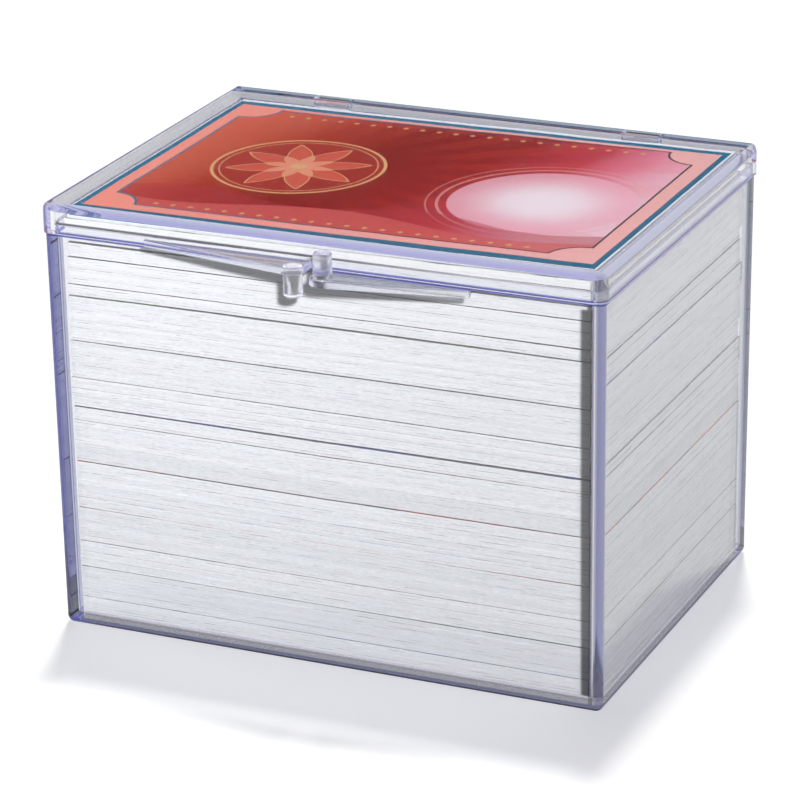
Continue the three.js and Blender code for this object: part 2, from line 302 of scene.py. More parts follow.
def base_shell():
    """The lower moulding: floor, leaning walls, lip, rear wall, hinge ears and finger tab."""
    def outer(z, inset):
        corner = max(BASE_CORNER - inset, LEAST_CORNER)
        return (BASE_X - lean(z) - inset, BASE_Y - lean(z) - inset, corner, z)

    def inner(z, inset):
        corner = CAVITY_CORNER - inset
        return (CAVITY_X - lean(z) - inset, CAVITY_Y - lean(z) - inset, corner, z)

    lip_x = LID_X - SKIRT - LIP_CLEARANCE
    lip_y = LID_Y - SKIRT - LIP_CLEARANCE
    soft = quarter_round(SOFT_EDGE, SOFT_FACES)
    floor_edge = quarter_round(FLOOR_EDGE, FLOOR_FACES)
    rings = [outer(rise, inset) for inset, rise in quarter_round(FOOT_EDGE)]
    rings += [outer(SHOULDER - rise, inset) for inset, rise in reversed(soft)]
    rings.append((lip_x, lip_y, LID_CORNER, SHOULDER))
    rings += [
        (lip_x - inset, lip_y - inset, LID_CORNER - inset, LIP_TOP - rise)
        for inset, rise in reversed(soft)
    ]
    rings += [
        (CAVITY_X + inset, CAVITY_Y + inset, CAVITY_CORNER, LIP_TOP - rise) for inset, rise in soft
    ]
    rings.append(inner(SHOULDER, 0))
    rings += [inner(FLOOR + rise, inset) for inset, rise in reversed(floor_edge)]
    shell = solid("base_shell_clear", loft(rings))

    heights = (SHOULDER - SOFT_EDGE, REAR_WALL_TOP)
    wall = solid("rear_wall", loft([(lip_x, BASE_Y, BASE_CORNER, z) for z in heights]))
    shape(wall, "INTERSECT", block((-LID_X, CAVITY_Y, 0), (LID_X, LID_Y, LID_TOP)))
    shape(shell, "UNION", wall)
    for side in (-1, 1):
        x0, x1 = side * HINGE_CENTRE - EAR_WIDTH / 2, side * HINGE_CENTRE + EAR_WIDTH / 2
        ear = solid("ear", hinge_bar(BARREL_RADIUS, x0, x1))
        shape(ear, "UNION", block((x0, CAVITY_Y, SHOULDER - SOFT_EDGE), (x1, BASE_Y, HINGE_Z)))
        shape(shell, "UNION", ear)
        bore = PIN_RADIUS + PIN_CLEARANCE
        shape(shell, "DIFFERENCE", hinge_bar(bore, x0 - OVERRUN, x1 + OVERRUN))
    low = SHOULDER - TAB_THICKNESS
    shape(shell, "UNION", tab_plate(1, -BASE_Y, low, BASE_TAB_LENGTH, BASE_TAB_HEEL))
    shape(shell, "UNION", knob(1, SHOULDER, 1))
    return shell


def front_inset(drop):
    """How far the lid's crisper front edge is inset at a depth below its top."""
    return LID_EDGE - math.sqrt(LID_EDGE ** 2 - max(0, LID_EDGE - drop) ** 2)


def lid_shell():
    """The upper moulding: plate, skirt, round rear edge, hinge pins and finger tab."""
    inner_x, inner_y = LID_X - SKIRT, LID_Y - SKIRT
    inner_corner = LID_CORNER + LIP_CLEARANCE
    end = LID_X + OVERRUN
    rear = LID_Y + OVERRUN
    soft = quarter_round(SOFT_EDGE, SOFT_FACES)
    inner = [(inner_x, inner_y, inner_corner, PLATE_UNDER)]
    mouth = [
        (inner_x + inset, inner_y + inset, inner_corner, LID_RIM + rise)
        for inset, rise in reversed(soft)
    ]
    skirt = [
        (LID_X - inset, LID_Y - inset, LID_CORNER - inset, LID_RIM + rise) for inset, rise in soft
    ]
    top = [
        (LID_X - inset, LID_Y - front_inset(rise), max(LID_CORNER - inset, LEAST_CORNER), LID_TOP - rise)
        for inset, rise in reversed(quarter_round(BARREL_RADIUS))
    ]
    shell = solid("lid_shell_clear", loft(inner + mouth + skirt + top))

    # The rear edge turns with the lid, so it is round about the hinge's axis
    low = (-inner_x, HINGE_Y - BARREL_RADIUS, LID_RIM - OVERRUN)
    shape(shell, "DIFFERENCE", block(low, (inner_x, rear, HINGE_Z)))
    barrel = solid("barrel", hinge_bar(BARREL_RADIUS - HAIR, -end, end))
    within = [(LID_X, LID_Y, LID_CORNER, LID_RIM)] + top
    within = [(x - HAIR, y - HAIR, corner, z - HAIR) for x, y, corner, z in within]
    shape(barrel, "INTERSECT", loft(within))
    shape(shell, "UNION", barrel)
    heels = solid("heels", block((-end, HINGE_Y, LID_RIM - OVERRUN), (end, rear, HINGE_Z)))
    shape(heels, "DIFFERENCE", hinge_bar(HINGE_Z - LID_RIM, -end - OVERRUN, end + OVERRUN))
    shape(shell, "DIFFERENCE", heels)
    crown = solid("crown", block((-end, HINGE_Y, HINGE_Z), (end, rear, LID_TOP + OVERRUN)))
    shape(crown, "DIFFERENCE", hinge_bar(BARREL_RADIUS, -end - OVERRUN, end + OVERRUN))
    shape(shell, "DIFFERENCE", crown)

    # Slots for the base's ears, and the pins that run into them from both sides
    slot_radius = BARREL_RADIUS + EAR_CLEARANCE
    reach = EAR_CLEARANCE + PIN_REACH
    for side in (-1, 1):
        x0 = side * HINGE_CENTRE - EAR_WIDTH / 2 - EAR_CLEARANCE
        x1 = side * HINGE_CENTRE + EAR_WIDTH / 2 + EAR_CLEARANCE
        shape(shell, "DIFFERENCE", hinge_bar(slot_radius, x0, x1))
        low = (x0, HINGE_Y - slot_radius, HINGE_Z)
        shape(shell, "DIFFERENCE", block(low, (x1, rear, LID_TOP + OVERRUN)))
        shape(shell, "UNION", hinge_bar(PIN_RADIUS, x0 - PIN_REACH, x0 + reach))
        shape(shell, "UNION", hinge_bar(PIN_RADIUS, x1 - reach, x1 + PIN_REACH))
    shape(shell, "UNION", tab_plate(-1, -LID_Y, LID_RIM, LID_TAB_LENGTH, LID_TAB_HEEL))
    shape(shell, "UNION", knob(-1, LID_RIM, -1))
    return shell


def smooth_plastic(work):
    """Smooth rounded edges beside flat faces that stay flat."""
    mesh = work.data
    mesh.shade_smooth()
    mesh.set_sharp_from_angle(angle=CREASE)
    step = work.modifiers.new("flat faces", "WEIGHTED_NORMAL")
    step.keep_sharp = True
    step.weight = 100
    apply_modifiers(work)


def blank_card():
    """One flat card, with softened edges and cuts across it that let it bend."""
    bm = bmesh.new()
    whole = Matrix.Diagonal((CARD_WIDTH, CARD_DEPTH, CARD_THICKNESS, 1))
    bmesh.ops.create_cube(bm, size=1, matrix=whole)
    bmesh.ops.bevel(
        bm, geom=list(bm.edges), offset=CARD_BEVEL, offset_type="OFFSET", segments=1, profile=0.5,
        affect="EDGES", material=-1,
    )
    for across, length, strips in (
        (Vector((1, 0, 0)), CARD_WIDTH, CARD_STRIPS_X),
        (Vector((0, 1, 0)), CARD_DEPTH, CARD_STRIPS_Y),
    ):
        for i in range(1, strips):
            at = across * (length * (i / strips - 0.5))
            everything = bm.verts[:] + bm.edges[:] + bm.faces[:]
            bmesh.ops.bisect_plane(bm, geom=everything, plane_co=at, plane_no=across)
    mesh = bpy.data.meshes.new("blank_card")
    bm.to_mesh(mesh)
    bm.free()
    return mesh


# The printed colours that show between cards; along the seams they are also painted shade between the
# cards
PLAIN_FACE = (0.8, 0.8, 0.82)
GREY_INK = (0.2, 0.18, 0.18)
RED_INK = (0.42, 0.1, 0.07)
BROWN_INK = (0.3, 0.16, 0.11)
GREEN_INK = (0.13, 0.16, 0.09)
BLUE_INK = (0.09, 0.1, 0.24)
SEAM_INKS_AND_SHADE = [
    PLAIN_FACE, GREY_INK, PLAIN_FACE, PLAIN_FACE, PLAIN_FACE, BROWN_INK, PLAIN_FACE, PLAIN_FACE,
    BLUE_INK,
]

# How far each gap between two packets stands open, in hundredths of a millimetre, at the front's left
# end, middle and right end and at the right side's back end, and the printed colour that shows in it
GAPS = [
    ((3, 5, 6, 8), BLUE_INK),
    ((12, 8, 20, 18), GREEN_INK),
    ((8, 4, 6, 6), GREY_INK),
    ((14, 4, 17, 14), RED_INK),
    ((2, 6, 4, 8), BLUE_INK),
    ((6, 12, 6, 8), RED_INK),
    ((4, 4, 9, 10), GREY_INK),
    ((7, 15, 6, 8), BROWN_INK),
    ((12, 24, 24, 8), BLUE_INK),
    ((3, 12, 10, 8), GREY_INK),
    ((2, 4, 8, 11), GREY_INK),
    ((12, 17, 16, 8), GREY_INK),
    ((5, 4, 6, 8), BLUE_INK),
    ((6, 16, 6, 10), GREEN_INK),
    ((21, 17, 27, 30), BROWN_INK),
    ((25, 15, 22, 22), GREY_INK),
    ((20, 16, 18, 20), GREY_INK),
    ((17, 16, 21, 23), BROWN_INK),
    ((6, 12, 20, 12), PLAIN_FACE),
]
LEAST_GAP = 0.02
GAP_RIPPLE = 3
RIPPLE_SCALE = 110
RIPPLE_STEP = 7.3

# How much the cut edges change from card to card and packet to packet, and how much painted shade
# darkens them towards the floor
TONE_BY_CARD = 0.2
TONE_BY_PACKET = 0.1
TONE_PACE = 2.4
SHADE_BY_HEIGHT = 1.3


def opening(gap, x, y):
    """How far a gap stands open at a place on the card."""
    (left, middle, right, back), _ = GAPS[gap]
    u = 2 * x / CARD_WIDTH
    v = y / CARD_DEPTH + 0.5
    along = left * u * (u - 1) / 2 + middle * (1 - u * u) + right * u * (u + 1) / 2
    place = Vector((RIPPLE_SCALE * x, RIPPLE_SCALE * y, RIPPLE_STEP * gap))
    along += GAP_RIPPLE * noise.noise(place)
    return max(LEAST_GAP, along + (back - right) * v * (0.5 + 0.5 * u)) * 0.01 * MM


def card_stack():
    """Every packet of cards as one object each, and the top card."""
    blank = blank_card()
    packets = []
    card = 0
    noise.seed_set(CARD_SEED)
    for index, count in enumerate(PACKETS + [1]):
        bm = bmesh.new()
        tone = bm.faces.layers.float.new("tone")
        ink = bm.faces.layers.float_color.new("ink")
        above = GAPS[min(index, len(GAPS) - 1)][1]
        below = GAPS[max(index - 1, 0)][1]
        loose = (FLOOR + card * CARD_THICKNESS) / SHOULDER
        shift_x = PACKET_SHIFT_X * loose * math.sin(PACKET_PACE_X * index)
        shift_y = PACKET_SHIFT_Y * loose * math.sin(PACKET_PACE_Y * index)
        for number in range(count):
            first = len(bm.verts)
            first_face = len(bm.faces)
            bm.from_mesh(blank)
            bm.verts.ensure_lookup_table()
            bm.faces.ensure_lookup_table()
            wander = noise.random_vector()
            card_tone_and_shade = 0.5 + TONE_BY_CARD * wander.z + TONE_BY_PACKET * math.sin(TONE_PACE * index)
            # Painted shade: lower cards get duller cut edges, as if less light reached the bottom of the
            # stack
            card_tone_and_shade += SHADE_BY_HEIGHT * (0.5 - card / CARD_COUNT)
            dx = shift_x + CARD_WANDER * wander.x
            dy = shift_y + CARD_WANDER * wander.y
            middle = FLOOR + (card + 0.5) * CARD_THICKNESS
            for vert in bm.verts[first:]:
                x, y, z = vert.co
                rise = sum(opening(gap, x, y) for gap in range(index))
                vert.co = (x + dx, y + dy, middle + z + rise)
            seam = SEAM_INKS_AND_SHADE[card % len(SEAM_INKS_AND_SHADE)]
            colour = above if number == count - 1 else below if number == 0 else seam
            for face in bm.faces[first_face:]:
                face[tone] = card_tone_and_shade
                face[ink] = (*colour, 1)
            card += 1
        name = "cards_%02d" % (index + 1) if index < len(PACKETS) else "printed_top_card"
        packets.append(solid(name, bm))
    return packets


# Shader nodes
def feed(tree, socket, value):
    """Sets an input, or links the socket that feeds it."""
    if isinstance(value, bpy.types.NodeSocket):
        tree.links.new(value, socket)
    elif value is not None:
        socket.default_value = value


def node(tree, kind, *values, **settings):
    """A shader node whose inputs, in their order, take these values."""
    made = tree.nodes.new("ShaderNode" + kind)
    for name, value in settings.items():
        setattr(made, name, value)
    for socket, value in zip(made.inputs, values):
        feed(tree, socket, value)
    return made


def calc(tree, operation, *values):
    return node(tree, "Math", *values, operation=operation).outputs[0]


def plus(tree, a, b):
    return calc(tree, "ADD", a, b)


def minus(tree, a, b):
    return calc(tree, "SUBTRACT", a, b)


def times(tree, a, b):
    return calc(tree, "MULTIPLY", a, b)


def most(tree, a, b):
    return calc(tree, "MAXIMUM", a, b)


def size(tree, a):
    return calc(tree, "ABSOLUTE", a)


def both(tree, *masks):
    """1 where every mask is 1."""
    product = masks[0]
    for mask in masks[1:]:
        product = times(tree, product, mask)
    return product


def outside(tree, mask):
    """1 where the mask is 0."""
    return minus(tree, 1.0, mask)


def fade(tree, value, low, high):
    """0 at low and 1 at high, with a smooth step between."""
    made = node(tree, "MapRange", value, low, high, 0.0, 1.0, interpolation_type="SMOOTHSTEP")
    return made.outputs[0]


def band(tree, value, limits, soft):
    """1 between two limits, with a smooth step outside each."""
    low, high = limits
    return both(tree, fade(tree, value, low - soft, low), fade(tree, value, high + soft, high))


def paint(tree, mask, under, over):
    """One colour over another, where the mask is 1."""
    made = node(tree, "Mix", mask, data_type="RGBA")
    feed(tree, made.inputs[6], under)
    feed(tree, made.inputs[7], over)
    return made.outputs[2]


def group(name, inputs, outputs):
    """An empty node group and its ends. Inputs are (name, kind, value) and outputs (name, kind)."""
    tree = bpy.data.node_groups.new(name, "ShaderNodeTree")
    for label, kind, value in inputs:
        made = tree.interface.new_socket(label, in_out="INPUT", socket_type="NodeSocket" + kind)
        made.default_value = value
    for label, kind in outputs:
        tree.interface.new_socket(label, in_out="OUTPUT", socket_type="NodeSocket" + kind)
    return tree, tree.nodes.new("NodeGroupInput").outputs, tree.nodes.new("NodeGroupOutput").inputs


def use_group(tree, made, **values):
    """A group placed in a material, with its own values."""
    placed = tree.nodes.new("ShaderNodeGroup")
    placed.node_tree = made
    for name, value in values.items():
        feed(tree, placed.inputs[name], value)
    return placed.outputs


def new_material(name):
    material = bpy.data.materials.new(name)
    material.use_nodes = True
    material.node_tree.nodes.clear()
    return material, material.node_tree, material.node_tree.nodes.new("ShaderNodeOutputMaterial")


def position(tree):
    return node(tree, "TexCoord").outputs["Object"]


def split(tree, vector):
    return node(tree, "SeparateXYZ", vector).outputs


def facing_way(tree):
    """The surface's own direction, as X, Y and Z."""
    return split(tree, node(tree, "NewGeometry").outputs["Normal"])


def speckle(tree, place, *values):
    """Noise from its scale, detail and roughness."""
    return node(tree, "TexNoise", place, None, *values).outputs[0]


def drawn_out(tree, place, scale):
    """A place scaled for a pattern that is longer one way than another."""
    return node(tree, "Mapping", place, None, None, scale).outputs[0]


# Moulded plastic
PLASTIC_ABSORPTION = 17
PLASTIC_TINT = (0.03, 0, 0.58, 1)
PLASTIC_IOR = 1.59
POLISHED = 0.02
MILKY = 0.22
TAB_TURN = 0.72
POST_REACH = 1.35 * MM

# Light that has met more surfaces than this passes straight on, and what passes keeps these colours
TRAPPED_AFTER = 5.5
TRAPPED_TINT = (0.84, 0.855, 0.97, 1)
LET_THROUGH = (0.95, 0.95, 0.96, 1)
HELD_BACK = (0.01, 0.01, 0.015, 1)

# Painted reflections and shade on the rounded edges, the lid's rim and the ends of the walls
CLEAR_FACE = (0.99, 0.99, 1, 1)
EDGE_SHADE_LEFT, EDGE_SHADE_RIGHT = (0.32, 0.34, 0.62, 1), (0.52, 0.51, 0.8, 1)
RIM_SHADE_LEFT, RIM_SHADE_MIDDLE, RIM_SHADE_RIGHT = (0.94, 0.94, 1, 1), (0.67, 0.69, 0.71, 1), (0.54, 0.56, 0.54, 1)
LEFT_END_SHADE = (0.27, 0.29, 0.41, 1)
LEFT_POST_SHADE = (0.72, 0.75, 0.82, 1)
LEFT_LINE_SHADE = (0.4, 0.43, 0.72, 1)
RIGHT_SLOT_SHADE = (0.34, 0.33, 0.32, 1)
SIDE_STRIP_SHADE = (0.56, 0.59, 0.6, 1)
SIDE_POST_SHADE_FOOT, SIDE_POST_SHADE_HEAD = (0.3, 0.32, 0.42, 1), (0.06, 0.09, 0.11, 1)
REAR_EDGE_SHADE = (0.24, 0.32, 0.43, 1)
REAR_CORNER_SHADE = (0.42, 0.47, 0.55, 1)
PARTING_SHADE = (0.07, 0.08, 0.42, 1)
FOOT_SHADE = (0.24, 0.27, 0.54, 1)
LIP_SHADE = (0.004, 0.004, 0.01, 1)

# Where they begin and end, from the middle of the case at the height of its shoulder
LEFT_END = (43.7 * MM, 44.7 * MM)
LEFT_POST = (44.7 * MM, 44.9 * MM)
LEFT_LINE = (45.6 * MM, 46.4 * MM)
RIGHT_SLOT = (45.1 * MM, 45.7 * MM)
SIDE_STRIP = (27.9 * MM, 28.5 * MM)
SIDE_POST = (30.3 * MM, 30.8 * MM)
SIDE_POST_EASE = (32.3 * MM, 33 * MM)
REAR_EDGE = (31 * MM, 31.4 * MM)
PARTING_LINE = (0.26 * MM, 0.2 * MM)


def flow_waviness():
    """The faint waves and fine scuffs that moulding and handling leave in clear plastic."""
    tree, given, out = group(
        "flow waviness", [("Waves", "Float", 1.0), ("Scuffs", "Float", 1.0)], [("Height", "Float")],
    )
    place = position(tree)
    waves = speckle(tree, place, 90.0, 1.0, 0.4)
    drawn = node(tree, "Mapping", place, None, (0, 0, 0.5), (900, 6000, 900)).outputs[0]
    scuffs = fade(tree, speckle(tree, drawn, 1.0, 2.0, 0.5), 0.66, 0.74)
    tall = times(tree, waves, given["Waves"])
    feed(tree, out["Height"], plus(tree, tall, times(tree, scuffs, given["Scuffs"])))
    return tree


def finger_tabs(tree, place):
    """1 in front of the walls, where the finger tabs and their knobs are."""
    return fade(tree, place["Y"], -LID_Y, -LID_Y - SOFT_EDGE)


def painted_edge_shading():
    """Clear on flat faces, with painted reflections and shade on the edges, corners and the walls' ends.
    """
    tree, _, out = group("moulded colour", [], [("Colour", "Color")])
    place = split(tree, position(tree))
    way = facing_way(tree)
    x, y, z = (size(tree, way[axis]) for axis in "XYZ")
    tabs = finger_tabs(tree, place)
    in_lid = fade(tree, place["Z"], SHOULDER, LID_RIM)
    low_wall = outside(tree, in_lid)
    right = fade(tree, place["X"], -CAVITY_X, CAVITY_X)
    left = outside(tree, right)

    # Painted reflections and shade on the rounded edges: paler where the lid's own rim shows, darker at
    # the left and hardly any inside the lid
    inner = both(tree, *(
        fade(tree, minus(tree, edge - SKIRT, size(tree, place[axis])), 0.0, 0.1 * MM)
        for axis, edge in (("X", LID_X), ("Y", LID_Y))
    ))
    hidden = both(tree, inner, in_lid, fade(tree, place["Z"], PLATE_UNDER + 0.2 * MM, PLATE_UNDER))
    level = fade(tree, z, 0.0, 0.25)
    flatness = most(tree, most(tree, x, y), z)
    rounded = both(
        tree, fade(tree, flatness, 0.998, 0.96), most(tree, outside(tree, tabs), level),
        outside(tree, times(tree, hidden, 0.8)),
    )
    edge_shade = paint(tree, right, EDGE_SHADE_LEFT, EDGE_SHADE_RIGHT)
    rim = paint(tree, fade(tree, place["X"], CAVITY_X - WALL, CAVITY_X), RIM_SHADE_MIDDLE, RIM_SHADE_RIGHT)
    rim = paint(tree, fade(tree, place["X"], -LID_X + WALL, -LID_X), rim, RIM_SHADE_LEFT)
    edge_and_rim_shade = paint(tree, most(tree, level, in_lid), edge_shade, rim)
    colour = paint(tree, rounded, CLEAR_FACE, edge_and_rim_shade)

    # Painted shade at the front wall's ends, set out as at the shoulder because the walls lean
    slant = minus(tree, DRAFT, times(tree, place["Z"], DRAFT / SHOULDER))
    across, deep = plus(tree, size(tree, place["X"]), slant), plus(tree, place["Y"], slant)
    front = fade(tree, place["Y"], -CAVITY_Y, -CAVITY_Y - WALL / 2)
    front = both(tree, low_wall, front, fade(tree, y, 0.9, 0.95))
    left_end_shade = both(tree, front, left, band(tree, across, LEFT_END, 0.1 * MM))
    colour = paint(tree, left_end_shade, colour, LEFT_END_SHADE)
    left_post = both(tree, front, left, fade(tree, across, *LEFT_POST))
    left_line = both(tree, left_post, band(tree, across, LEFT_LINE, 0.2 * MM))
    left_post_shade = paint(tree, left_line, LEFT_POST_SHADE, LEFT_LINE_SHADE)
    colour = paint(tree, left_post, colour, left_post_shade)
    right_slot_shade = both(tree, front, right, band(tree, across, RIGHT_SLOT, 0.1 * MM))
    colour = paint(tree, right_slot_shade, colour, RIGHT_SLOT_SHADE)

    # Painted shade at the right wall's rear end, where the post is painted darker upwards
    side = fade(tree, place["X"], CAVITY_X, CAVITY_X + WALL / 2)
    side = both(tree, low_wall, side, fade(tree, x, 0.3, 0.5))
    colour = paint(tree, both(tree, side, fade(tree, deep, *SIDE_STRIP)), colour, SIDE_STRIP_SHADE)
    side_post_slate_shade = paint(tree, fade(tree, place["Z"], 0, SHOULDER), SIDE_POST_SHADE_FOOT, SIDE_POST_SHADE_HEAD)
    eased = outside(tree, times(tree, fade(tree, deep, *SIDE_POST_EASE), 0.6))
    side_post_shade = both(tree, side, fade(tree, deep, *SIDE_POST), eased)
    colour = paint(tree, side_post_shade, colour, side_post_slate_shade)

    # Painted shade on the lid's rear edge and its right corner
    above = fade(tree, place["Z"], HINGE_Z, LID_TOP)
    rear = both(tree, fade(tree, place["Y"], *REAR_EDGE), above, fade(tree, z, 0.85, 0.9))
    colour = paint(tree, rear, colour, REAR_EDGE_SHADE)
    corner = both(
        tree, in_lid, fade(tree, place["X"], BASE_X - LID_CORNER, BASE_X),
        fade(tree, place["Y"], BASE_Y - 2 * LID_CORNER, BASE_Y),
    )
    colour = paint(tree, corner, colour, REAR_CORNER_SHADE)

    # Painted shade: the dark parting line, the foot's round edge and the dark line along the lip
    off_parting = size(tree, minus(tree, place["Z"], (SHOULDER + LID_RIM) / 2))
    parting_shade = both(tree, fade(tree, off_parting, *PARTING_LINE), fade(tree, tabs, 1.3, 0.0))
    colour = paint(tree, parting_shade, colour, PARTING_SHADE)
    foot = both(tree, fade(tree, place["Z"], 1.15 * FOOT_EDGE, FOOT_EDGE), fade(tree, z, 0.95, 0.85))
    colour = paint(tree, foot, colour, FOOT_SHADE)
    off_lip = size(tree, minus(tree, place["Z"], LIP_TOP))
    lip_shade = both(
        tree, inner, fade(tree, off_lip, 1.2 * SOFT_EDGE, 0.9 * SOFT_EDGE),
        fade(tree, place["Y"], -CAVITY_Y + WALL, -CAVITY_Y), fade(tree, place["X"], CAVITY_X, 0.0),
    )
    feed(tree, out["Colour"], paint(tree, lip_shade, colour, LIP_SHADE))
    return tree


def turned_light(tree, place):
    """1 where the plastic turns light away: knobs, tabs and the front wall's ends."""
    across = size(tree, place["X"])
    post = both(
        tree, fade(tree, across, CAVITY_X - POST_REACH, CAVITY_X - POST_REACH / 2),
        fade(tree, size(tree, facing_way(tree)["Y"]), 0.6, 0.9),
        fade(tree, place["Z"], LID_RIM, SHOULDER),
    )
    return most(tree, post, times(tree, finger_tabs(tree, place), TAB_TURN))


def clear_plastic():
    """Polished clear polystyrene with a faint violet body colour, and painted reflections and shade on
    its rounded edges and the walls' ends.
    """
    material, tree, out = new_material("clear_plastic")
    height = use_group(tree, flow_waviness(), Waves=1.0, Scuffs=0.04)["Height"]
    bump = node(tree, "Bump", 0.06, 0.0004, None, height)
    colour = use_group(tree, painted_edge_shading())["Colour"]
    place = split(tree, position(tree))
    up = size(tree, facing_way(tree)["Z"])
    knob_sides = both(tree, finger_tabs(tree, place), fade(tree, up, 0.5, 0.1))
    rough = plus(tree, POLISHED, times(tree, knob_sides, MILKY))
    glass = node(tree, "BsdfPrincipled", colour, 0, rough, PLASTIC_IOR, 1, bump.outputs[0])
    glass.inputs["Transmission Weight"].default_value = 1

    facing = node(tree, "LayerWeight", 0.5).outputs["Facing"]
    turned = most(tree, fade(tree, facing, 0.7, 0.95), turned_light(tree, place))
    dim = paint(tree, turned, LET_THROUGH, HELD_BACK)
    path = node(tree, "LightPath").outputs
    scattered = calc(tree, "GREATER_THAN", path["Diffuse Depth"], 0.5)
    to_lamps = most(tree, path["Is Shadow Ray"], scattered)
    trapped = calc(tree, "GREATER_THAN", path["Ray Depth"], TRAPPED_AFTER)
    passing = node(tree, "BsdfTransparent", paint(tree, to_lamps, TRAPPED_TINT, dim))
    through = most(tree, to_lamps, trapped)
    mixed = node(tree, "MixShader", through, glass.outputs[0], passing.outputs[0])
    feed(tree, out.inputs["Surface"], mixed.outputs[0])
    body = node(tree, "VolumeAbsorption", PLASTIC_TINT, PLASTIC_ABSORPTION)
    feed(tree, out.inputs["Volume"], body.outputs[0])
    return material


# Card stock and print
CARD_IOR = 1.45
# The dull edge colour serves both duller cards and painted shade
WHITE_EDGE, DULL_AND_SHADED_EDGE = (0.875, 0.9, 0.88, 1), (0.62, 0.645, 0.635, 1)
FRAYED_EDGE = (0.55, 0.56, 0.60, 1)
DARK_INK_PATCH = (0.16, 0.15, 0.15, 1)
FRONT_SHADE = 0.11
FRONT_SHADE_FROM, FRONT_SHADE_TO = -30 * MM, 40 * MM


def cut_edges():
    """White card at its guillotined edge: fibres drawn along it, each card a little unlike the next,
    with painted shade lower down the stack and towards the front's right end.
    """
    tree, given, out = group(
        "cut card edges", [("Tone", "Float", 0.5)], [("Colour", "Color"), ("Height", "Float")],
    )
    place = position(tree)
    fibres = speckle(tree, drawn_out(tree, place, (700, 700, 9000)), 1.0, 3.0, 0.6)
    coarse = speckle(tree, drawn_out(tree, place, (1100, 1100, 4200)), 1.0, 2.0, 0.5)
    grain = speckle(tree, place, 5200.0, 2.0, 0.6)
    dull_and_shade = plus(tree, times(tree, given["Tone"], 0.35), times(tree, fibres, 0.5))
    dull_and_shade = plus(tree, dull_and_shade, times(tree, coarse, 0.5))
    white = paint(tree, fade(tree, dull_and_shade, 0.35, 1.0), WHITE_EDGE, DULL_AND_SHADED_EDGE)

    # Painted shade: the stack's front is a little darker towards its right end, as if less light reached
    # it there
    shaded_rightwards = fade(tree, split(tree, place)["X"], FRONT_SHADE_FROM, FRONT_SHADE_TO)
    front = fade(tree, size(tree, facing_way(tree)["Y"]), 0.4, 0.6)
    painted_shade = both(tree, shaded_rightwards, FRONT_SHADE, front)
    white = paint(tree, painted_shade, white, (0, 0, 0, 1))
    frayed = times(tree, fade(tree, grain, 0.68, 0.78), 0.35)
    feed(tree, out["Colour"], paint(tree, frayed, white, FRAYED_EDGE))
    height = plus(tree, times(tree, fibres, 0.7), times(tree, grain, 0.5))
    feed(tree, out["Height"], plus(tree, height, coarse))
    return tree


def card_stock(edges):
    """Coated white card with cut edges, and print that shows in the gaps and in places along a seam,
    where it is also painted shade between cards.
    """
    material, tree, out = new_material("card_stock")
    tone = node(tree, "Attribute", attribute_name="tone").outputs["Fac"]
    ink = node(tree, "Attribute", attribute_name="ink").outputs["Color"]
    cut = use_group(tree, edges, Tone=tone)
    up = size(tree, facing_way(tree)["Z"])
    place = position(tree)
    patches = speckle(tree, drawn_out(tree, place, (260, 260, 2600)), 1.0, 3.0, 0.6)
    # Patches along each seam: partly print and partly painted shade between the cards
    seam = both(tree, fade(tree, up, 0.5, 0.6), fade(tree, patches, 0.47, 0.6))
    printed = most(tree, seam, fade(tree, up, 0.8, 0.9))
    # Darker patches over the print and over the seams' painted shade
    drift = speckle(tree, drawn_out(tree, place, (70, 70, 1100)), 1.0, 2.0, 0.6)
    ink = paint(tree, fade(tree, drift, 0.4, 0.6), ink, DARK_INK_PATCH)
    colour = paint(tree, printed, cut["Colour"], ink)
    bump = node(tree, "Bump", 0.6, 0.00009, None, cut["Height"])
    paper = node(tree, "BsdfPrincipled", colour, 0, 0.75, CARD_IOR, 1, bump.outputs[0])
    feed(tree, out.inputs["Surface"], paper.outputs[0])
    return material


# The top card's design, in mm about its middle
PRINT_SOFT = 0.05
BORDER = 4
FRONT_BORDER = 4.8
SCALLOP = 5.5
STAR = (-19, 0)
RING = 14.1
INNER_RING = 12.9
SUN = (25, -4)
SUN_RADIUS = 15
BEAD_ROW = 25.3
BEAD_PACE = 1.5
ROW_REACH = 33.2
RULE = (1.25, 1.1)

FIELD_LEFT, FIELD_RIGHT = (0.66, 0.12, 0.06, 1), (0.95, 0.62, 0.68, 1)
FIELD_STOPS = [
    (0.12, (0.42, 0.035, 0.014, 1)),
    (0.32, (0.24, 0.008, 0.004, 1)),
    (0.6, (0.3, 0.01, 0.008, 1)),
    (0.8, (0.56, 0.05, 0.07, 1)),
    (0.9, (0.84, 0.24, 0.32, 1)),
]
RAY_RED = (0.9, 0.08, 0.03, 1)
SUN_PINK = (0.97, 0.5, 0.56, 1)
SUN_WHITE = (1, 0.9, 0.92, 1)
HALO_SALMON = (0.95, 0.5, 0.42, 1)
NEAR_HILL, FAR_HILL = (0.70, 0.12, 0.10, 1), (0.45, 0.03, 0.04, 1)
DISC_RED = (0.40, 0.03, 0.02, 1)
BIG_STAR_RED = (0.66, 0.10, 0.06, 1)
SMALL_STAR_SALMON = (0.84, 0.30, 0.18, 1)
GILT_INK = (0.80, 0.46, 0.20, 1)
BORDER_LEFT, BORDER_RIGHT = (1, 0.33, 0.24, 1), (0.97, 0.5, 0.45, 1)
FRAME_LEFT, FRAME_RIGHT = (0.01, 0.18, 0.28, 1), (0.05, 0.05, 0.05, 1)
RULE_TEAL = (0.002, 0.15, 0.25, 1)
PALE_EDGE = (0.96, 0.96, 1, 1)


